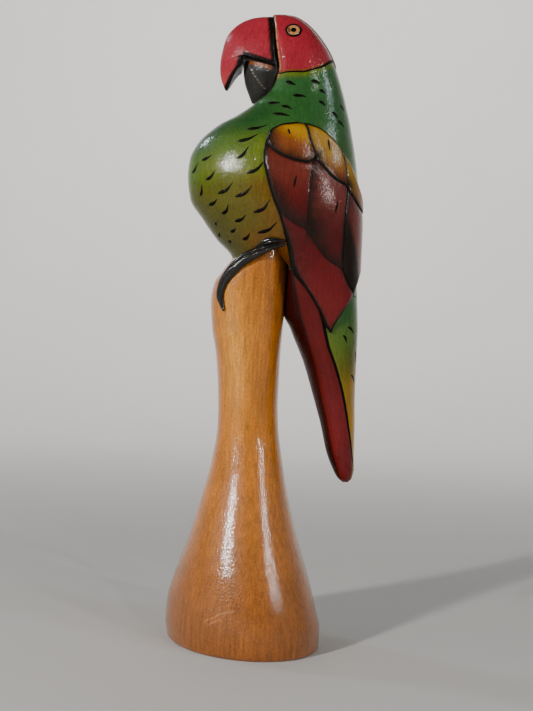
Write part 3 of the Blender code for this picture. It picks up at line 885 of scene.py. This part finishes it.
# Burnt lines between the wing's feathers: points, which side overlaps (1 below or in front, -1 above
# or behind), how far the burn spreads on the side above or behind, how dark it is, half the line's width
WING_LINES = (
    (((77, 234.5), *part(UPPER_END, 79.5, 104.5), (112, 228.5)), -1, 5.5, 0.9, 1.0),
    (drawn(UPPER_BORDERS[0]), 1, 2.6, 0.6, 0.9),
    (part(UPPER_END, 112, 139.5), -1, 3.6, 0.9, 0.9),
    (drawn(UPPER_BORDERS[1]), 1, 1.6, 0.7, 0.8),
    ((*part(UPPER_END, 139.5, 154), (166, 207.5), (175, 206.5)), -1, 2.4, 0.85, 0.8),
    (((110, 227.5), *drawn(MIDDLE_BORDERS[0])), 1, 6.5, 0.95, 0.35),
    (((79, 205.5), *part(MIDDLE_END, 81.5, 94)), -1, 8.0, 0.95, 0.35),
    (drawn(MIDDLE_BORDERS[1]), 1, 3.6, 1.0, 1.0),
    (part(MIDDLE_END, 94, 127), -1, 6.0, 0.9, 0.35),
    (part(MIDDLE_END, 127, 141), -1, 4.0, 0.95, 0.9),
)
WING_TICKS = (
    ((90.5, 240.5), (92.5, 238.0)), ((122.5, 237.5), (124.0, 232.5)),
    ((96.5, 219.5), (93.5, 214.0)), ((126.0, 209.5), (122.5, 204.0)),
)


# How wide the wing's burnt rim is, at heights up its front and its rear
FRONT_RIM = {150: 1.4, 170: 1.5, 176: 2.8, 190: 2.6, 200: 1.5, 228: 2.0, 236: 2.2, 242: 1.3}
REAR_RIM = {150: 1.2, 180: 1.2, 210: 1.1, 245: 1.3}


def burn_feathers(base, colours, thick):
    """Burns the lines between the feathers, and cuts each feather down where another lies over it."""
    for points, over, reach, strength, core in WING_LINES:
        away, side, along = near(base, traced(points, trunk))
        run = along * len(points)
        hatch = 0.75 + 0.25 * np.sin(run * 37.0) * np.sin(run * 13.7 + 1.0)
        burn = np.exp(-((away / (reach * hatch)) ** 1.6)) * strength
        colours = mix(colours, BURNT, np.where(side <= 0, burn, 0.7 * np.exp(-away / (0.8 * core))))
        colours = mix(colours, DARK, ramp(core, 0.45 * core, away))
        under = side * over < 0
        deep = 1.0 if core > 0.5 else 0.25
        thick = thick - 0.5 * deep * np.where(under, np.exp(-away / 2.2), 0.0)
        thick = thick - 0.25 * deep * np.exp(-((away / 0.5) ** 2))
        thick = thick - 0.2 * deep * np.where(under, 0.0, np.exp(-away / 0.7))
    return colours, thick


def burn_rim(colours, distance, past, height):
    """Burns the wing's rim; past is the angle from the wing's middle, above 0 behind it."""
    front, rear = bend(FRONT_RIM, height), bend(REAR_RIM, height)
    rim = front + (rear - front) * ramp(-8, 8, past)
    fade = rim * (0.8 - 0.6 * ramp(0, 10, past))
    colours = mix(colours, BURNT, 0.85 * np.exp(-np.maximum(distance - rim * 0.6, 0) / fade))
    return mix(colours, DARK, ramp(rim * 1.1, rim * 0.7, distance))


def make_wing(name, side, material, node):
    """A carved wing: feathers that overlap each other, with burnt edges."""
    low, high = min(WING_EDGES), max(WING_EDGES)
    # rows lie closer together at both ends
    levels = np.concatenate([
        np.linspace(low, 152, 14)[:-1], np.linspace(152, 240, 270)[:-1], np.linspace(240, high, 26),
    ])
    front, rear = smooth(WING_EDGES, levels)
    share = 0.5 - 0.5 * np.cos(np.linspace(0, math.pi, 220))
    share = 0.35 * share + 0.65 * np.linspace(0, 1, 220)
    angle = front[:, None] + (rear - front)[:, None] * share
    height = np.broadcast_to(levels[:, None], angle.shape)
    base = trunk(angle, height)
    crest = np.linspace(front[-1], rear[-1], 30)
    around = np.concatenate([front, crest, rear[::-1]])
    rim = trunk(around, np.concatenate([levels, np.full(30, high), levels[::-1]]))
    distance = near(base, (rim, 0 * rim, 0 * rim))[0]
    edge = 1 - np.clip(distance / WING_ROUND, 0, 1)
    thick = WING_BACK + (WING_PROUD - WING_BACK) * np.sqrt(1 - edge**2)
    colours, thick = burn_feathers(base, wing_cells(angle, height), thick)
    colours = burn_rim(colours, distance, angle - (front + rear)[:, None] / 2, height)
    outer = base + outward(trunk, angle, height) * np.maximum(thick, WING_BACK + 0.02)[..., None]
    angle = front[:, None] + (rear - front)[:, None] * np.linspace(1, 0, 9)
    height = np.broadcast_to(levels[:, None], angle.shape)
    inner = trunk(angle, height) + outward(trunk, angle, height) * WING_BACK
    rings = mirror(np.concatenate([outer, inner], axis=1), side)
    colours = np.concatenate([colours, np.broadcast_to(BURNT, inner.shape)], axis=1)
    skin(name, rings, colours, material, node, flip=side > 0)


def ribbon(points, surface, widths, proud, lift=0.12):
    """Rings of a thin closed stroke that lies on a surface."""
    places, tangents, normals = traced(points, surface, proud, spacing=0.6)
    across = unit(np.cross(tangents, normals))
    share = np.linspace(0, 1, len(places))
    width = np.interp(share, np.linspace(0, 1, len(widths)), widths)[:, None]
    section = ((-0.5, -0.1), (-0.3, lift * 0.8), (0, lift), (0.3, lift * 0.8), (0.5, -0.1), (0, -0.3))
    return np.stack([places + across * width * aside + normals * up for aside, up in section], 1)


def both_sides(rings):
    """A stroke on the left and its mirror image on the right."""
    return [rings, mirror(rings, 1)[:, ::-1]]


def joined(parts, flip=False):
    """Vertices and faces of several closed skins as one mesh."""
    faces, start = [], 0
    for rings in parts:
        rows, count = rings.shape[:2]
        faces += [[start + i for i in face] for face in ring_faces(rows, count, flip)]
        start += rows * count
    return np.concatenate([rings.reshape(-1, 3) for rings in parts]), faces


def strokes(name, parts, colour, material):
    """Many thin strokes as one piece."""
    vertices, faces = joined(parts)
    return finish_mesh(name, vertices, faces, np.broadcast_to(colour, vertices.shape), material, None)


# Feather marks on breast, neck and tail: the thick end and the thin end
BREAST_MARKS = (
    ((62, 241), (74.5, 243)), ((59.5, 235), (71.5, 238.5)), ((61.5, 227), (68, 232.5)),
    ((68, 220), (79, 226.5)), ((32.5, 227), (42, 229)), ((19.5, 221.5), (28, 226)),
    ((37.5, 217.5), (46, 221.5)), ((28, 210.5), (32.5, 215.5)), ((46, 211), (58.5, 216)),
    ((58, 209.5), (70, 214.5)), ((33.5, 206), (44, 208.5)), ((40.5, 202), (50.5, 206)),
    ((65, 202.5), (78.5, 208.5)), ((48, 198.5), (59, 201.5)), ((61, 193.5), (77, 198.5)),
    ((38.5, 194), (45.5, 195.5)), ((45.5, 190.5), (55, 193.5)), ((25, 197.5), (29, 198.5)),
    ((17, 192.5), (24, 194)), ((26.5, 189.5), (32.5, 190.5)),
)
NECK_MARKS = (
    ((75.5, 265), (88, 263.5)), ((100, 266), (112.5, 265)), ((110.5, 262), (120, 260.5)),
    ((86, 258.5), (95, 258)), ((111, 256.5), (119.5, 254.5)), ((76, 253), (87, 251.5)),
    ((72.5, 249), (88, 248)), ((57.5, 254.5), (73, 254.5)), ((144, 256.5), (153, 254.5)),
    ((129, 252), (138, 249.5)), ((137.5, 248.5), (147.5, 246)),
)
TAIL_MARKS = (
    ((132, 152.5), (148, 149.5)), ((122, 148.5), (129.5, 145)), ((155.5, 141), (165.5, 136)),
    ((139.5, 130), (153.5, 126.5)),
)


def make_marks(material):
    """Burnt feather marks, the same on both sides of the bird."""
    made = []
    for marks, surface, widths in (
        (BREAST_MARKS, trunk, (1.0, 2.3, 1.8, 1.0, 0.4)),
        (NECK_MARKS, trunk, (0.6, 2.1, 2.1, 1.3, 0.5)),
        (TAIL_MARKS, tail, (0.5, 1.7, 1.7, 1.1, 0.4)),
    ):
        for start, end in marks:
            middle = start[0] * 0.5 + end[0] * 0.5, start[1] * 0.75 + end[1] * 0.25
            made += both_sides(ribbon((start, middle, end), surface, widths, 0.0))
    strokes("feather_marks", made, DARK, material)
    made = []
    for ends in WING_TICKS:
        made += both_sides(ribbon(ends, trunk, (0.4, 1.4, 1.3, 0.4), WING_PROUD, 0.1))
    strokes("wing_marks", made, DARK, material)


# Burnt lines, as (angle, height) points: under the face, between the tail's side and back, on the crown
FACE_LINE = (
    (40, 269.2), (60, 269), (75.5, 269.5), (90, 270), (103.5, 271.5), (120, 273.5), (139, 276.5),
    (160, 278.8), (180, 280),
)
TAIL_SEAM = (*drawn(TAIL_SIDE), (160, 84))
CROWN_LINE = tuple((180, height) for height in (280, 284, 288, 292, 296, 299, 300.5, 301))


def make_lines(material):
    """The burnt lines round the face, along the crown and between the tail's colours."""
    made = both_sides(ribbon(FACE_LINE, trunk, (0.9, 1.0, 1.2, 1.8, 2.4), 0.0))
    made += both_sides(ribbon(TAIL_SEAM, tail, (1.8, 1.9, 1.6, 1.5, 1.2), 0.0))
    made.append(ribbon(CROWN_LINE, trunk, (1.6, 1.2, 1.2, 1.0), -0.02))
    strokes("burnt_lines", made, DARK, material)


def toe(path, groove_at):
    """A domed strip that tapers along its path, with a groove along it: rings of points."""
    at = np.linspace(0, len(path) - 1, 150)
    x, y, z, width, thick = smooth(path, at)
    middle = np.stack([x, y, z], -1)
    along = unit(np.gradient(middle, axis=0))
    out = np.stack([x - CLAW_AXIS_X, y, np.zeros_like(x)], -1)
    out = unit(out - along * (out * along).sum(-1, keepdims=True))
    across = np.cross(along, out)
    s = np.linspace(-0.5, 0.5, 33)
    dome = 0.9 * (1 - np.abs(2 * s) ** 2.4) ** 0.5
    groove = 0.42 * np.exp(-(((s - groove_at) / 0.08) ** 2))
    depth = dome[None, :] - groove[None, :] * ramp(4.8, 3.4, at)[:, None] * ramp(0.0, 0.8, at)[:, None]
    top = middle[:, None] + across[:, None] * (s[None, :, None] * width[:, None, None])
    top = top + out[:, None] * (depth * thick[:, None])[..., None]
    base = middle[:, None] + across[:, None] * (s[::-1][None, 1:-1:4, None] * width[:, None, None] * 0.98)
    return np.concatenate([top, base], axis=1)


def make_claw(name, side, material, node):
    """A foot that grips the perch: two toes that run together into one hooked claw."""
    parts = [mirror(toe(path, groove_at), side) for path, groove_at in ((CLAW, 0.12), (TOE, 0.0))]
    vertices, faces = joined(parts, side > 0)
    colours = np.broadcast_to(CLAW_BLACK, vertices.shape)
    finish_mesh(name, vertices, faces, colours, material, node)


EYE_X = 9.3
EYE_Z = 290.2
# Rings of the eye: distance from its middle, height over the head, colour
EYE_PROFILE = (
    (0.02, 0.42, DARK), (0.5, 0.42, DARK), (0.95, 0.40, DARK), (1.1, 0.25, DARK), (1.3, 0.28, DARK),
    (1.45, 0.34, TAN), (1.8, 0.38, TAN), (2.1, 0.38, TAN), (2.4, 0.36, TAN), (2.8, 0.30, TAN),
    (3.0, 0.15, DARK), (3.2, 0.05, DARK), (3.45, 0.1, DARK), (3.7, 0.3, DARK), (3.85, 0.25, DARK),
    (3.9, 0.1, DARK), (3.9, -1.8, DARK), (2.0, -1.8, DARK), (0.02, -1.8, DARK),
)


def make_eye(name, side, material, node):
    """A tan iris between a burnt ring and a burnt pupil."""
    widest = smooth(TRUNK, EYE_Z)[1]
    front, roundness = smooth(BODY_FRONT, EYE_Z)
    angle = math.degrees(math.acos(((widest - EYE_X) / (widest - front)) ** (roundness / 2)))
    centre = trunk(angle, EYE_Z)
    out = outward(trunk, angle, EYE_Z)
    right = unit(np.cross(np.array([0, 0, 1.0]), out))
    up = np.cross(out, right)
    turned = np.linspace(0, 2 * math.pi, 72, endpoint=False)
    comma = ramp(2.4, 2.7, turned) * ramp(4.1, 3.7, turned)
    rings, colours = [], []
    for distance, level, tone in EYE_PROFILE:
        circle = centre + distance * (np.cos(turned)[:, None] * right + 0.94 * np.sin(turned)[:, None] * up)
        rings.append(circle + out * level)
        colours.append(mix(tone, DARK, comma * ramp(1.7, 2.0, distance) * ramp(2.8, 2.5, distance)))
    rings = mirror(np.array(rings), side)
    skin(name, rings, np.array(colours), material, node, flip=side < 0)


def plain(name, colour, roughness, scale, depth):
    """A matt material with soft mottling and a fine bump."""
    made, nodes, links = node_tree(name)
    shader = nodes["Principled BSDF"]
    place = nodes.new("ShaderNodeTexCoord").outputs["Object"]
    mottle = noise(nodes, links, place, scale, 5.0)
    tint = nodes.new("ShaderNodeMix")
    tint.data_type = "RGBA"
    tint.inputs["A"].default_value = (*[c * 0.9 for c in colour], 1)
    tint.inputs["B"].default_value = (*colour, 1)
    links.new(mottle, tint.inputs["Factor"])
    links.new(tint.outputs["Result"], shader.inputs["Base Color"])
    shader.inputs["Roughness"].default_value = roughness
    links.new(bumped(nodes, links, mottle, depth, strength=0.3), shader.inputs["Normal"])
    return made


# The backdrop, in metres: radius of the flat floor, of the curve that follows it, and height of the wall
FLOOR = 0.9
CURVE = 1.1
WALL = 2.2
# name: turn from the camera's side of the object, rise, distance, width, height, power, colour
LAMPS = {
    "key": (-43, 18, 1.2, 0.05, 0.24, 14.0, (1.0, 0.97, 0.93)),
    "side": (46, 17, 1.2, 0.02, 0.24, 3.2, (1.0, 0.95, 0.88)),
    "spark": (30, 30, 1.2, 0.05, 0.06, 1.1, (1.0, 0.95, 0.88)),
    "window": (-78, 28, 1.3, 0.9, 0.9, 1.2, (1.0, 0.98, 0.96)),
    "sky_left": (-114, 39, 1.4, 0.10, 0.10, 3.0, (0.8, 0.9, 1.0)),
    "sky_right": (68, 33, 1.4, 0.16, 0.12, 2.8, (0.8, 0.9, 1.0)),
}
AIM = Vector((0.0, 0.0, 0.16))


def make_backdrop():
    """A pale bowl: floor, curve and wall in one sweep."""
    profile = [(0.01, 0.0), (0.4, 0.0), (FLOOR, 0.0)]
    for t in np.linspace(0.1, math.pi / 2, 14):
        profile.append((FLOOR + CURVE * math.sin(t), CURVE - CURVE * math.cos(t)))
    profile += [(FLOOR + CURVE, 1.6), (FLOOR + CURVE, WALL)]
    turned = np.radians(turns(96))
    rings = np.array([[(r * math.cos(t), r * math.sin(t), z) for t in turned] for r, z in profile])
    faces = [face[::-1] for face in ring_faces(*rings.shape[:2])[:-1]]
    material = plain("backdrop", (0.52, 0.507, 0.49), 0.95, 3.0, 0.001)
    solid("backdrop", rings.reshape(-1, 3), faces, material)


def bearing(turn):
    """Level direction away from the object, turned from the camera's side of it."""
    return Vector((math.sin(math.radians(turn)), -math.cos(math.radians(turn)), 0.0))


def add_lamp(name, place, aim, size, power, colour=(1.0, 1.0, 1.0)):
    """A rectangular lamp, in metres and watts, that the camera doesn't see."""
    lamp = bpy.data.lights.new(name, "AREA")
    lamp.shape = "RECTANGLE"
    lamp.size, lamp.size_y = size
    lamp.energy = power
    lamp.color = colour
    holder = add(name, lamp)
    holder.location = place
    holder.rotation_euler = (aim - place).to_track_quat("-Z", "Y").to_euler()
    holder.visible_camera = False


def make_lights():
    """Small bright lamps for the varnish, a soft window, three lamps on the wall and a dim world."""
    for name, (turn, rise, distance, width, height, power, colour) in LAMPS.items():
        lean = math.radians(rise)
        towards = bearing(turn) * math.cos(lean) + Vector((0, 0, math.sin(lean)))
        add_lamp(name, AIM + towards * distance, AIM, (width, height), power, colour)
    for number, turn in enumerate((150, 180, 210)):
        place = bearing(turn) * 0.9 + Vector((0, 0, 1.3))
        on_wall = bearing(turn) * 2.0 + Vector((0, 0, 0.7))
        add_lamp(f"wall_{number}", place, on_wall, (1.0, 0.5), 13.0)
    world = bpy.data.worlds.new("studio")
    world.use_nodes = True
    sky = world.node_tree.nodes["Background"]
    sky.inputs["Color"].default_value = (0.95, 0.97, 1.0, 1)
    sky.inputs["Strength"].default_value = 0.06
    bpy.context.scene.world = world


def make_camera():
    """The camera, level with the bird's perch and rolled a little."""
    lens = bpy.data.cameras.new("camera")
    lens.lens = 50.0
    camera = add("camera", lens)
    camera.location = (0.0046, -0.476, 0.1371)
    camera.rotation_euler = (math.radians(90), math.radians(-3), 0)
    bpy.context.scene.camera = camera


# Varnished materials: shine of the paint, weight and index of the varnish, strength of the grain, depth in
# metres of the ripples in the paint and in the varnish, and scale of the grain along the wood
FINISHES = {
    "post_wood": (0.25, 1.0, 1.5, 0.27, 0.0003, 0.0001, 0.06),
    "painted_wood": (0.08, 0.8, 1.38, 0.14, 0.00028, 0.00011, 0.15),
    "painted_beak": (0.06, 0.3, 1.38, 0.14, 0.0003, 0.00015, 0.15),
    "burnt_wood": (0.04, 1.0, 1.5, 0.2, 0.0003, 0.00014, 0.15),
    "burnt_lines": (0.04, 0.3, 1.38, 0.2, 0.0003, 0.00015, 0.15),
}


def main():
    make_camera()
    make_backdrop()
    make_lights()
    finish = {name: varnished(name, *values) for name, values in FINISHES.items()}
    painted = finish["painted_wood"]
    make_post(finish["post_wood"])
    make_body(painted)
    make_tail(painted)
    make_upper_bill(finish["painted_beak"])
    make_lower_bill(finish["painted_beak"])
    for word, side in (("left", -1), ("right", 1)):
        make_wing("carved_wing_" + word, side, painted, "wing_" + word)
        make_claw("claw_" + word, side, finish["burnt_wood"], "foot_" + word)
        make_eye("inlaid_eye_" + word, side, painted, "eye_" + word)
    make_marks(finish["burnt_lines"])
    make_lines(finish["burnt_lines"])
    shell = plain("seed_shell", (0.12, 0.07, 0.04), 0.45, 800.0, 0.0002)
    for number in range(1, SEEDS + 1):
        for slot in bpy.data.objects[f"seed_{number:02d}"].material_slots:
            slot.material = shell


main()
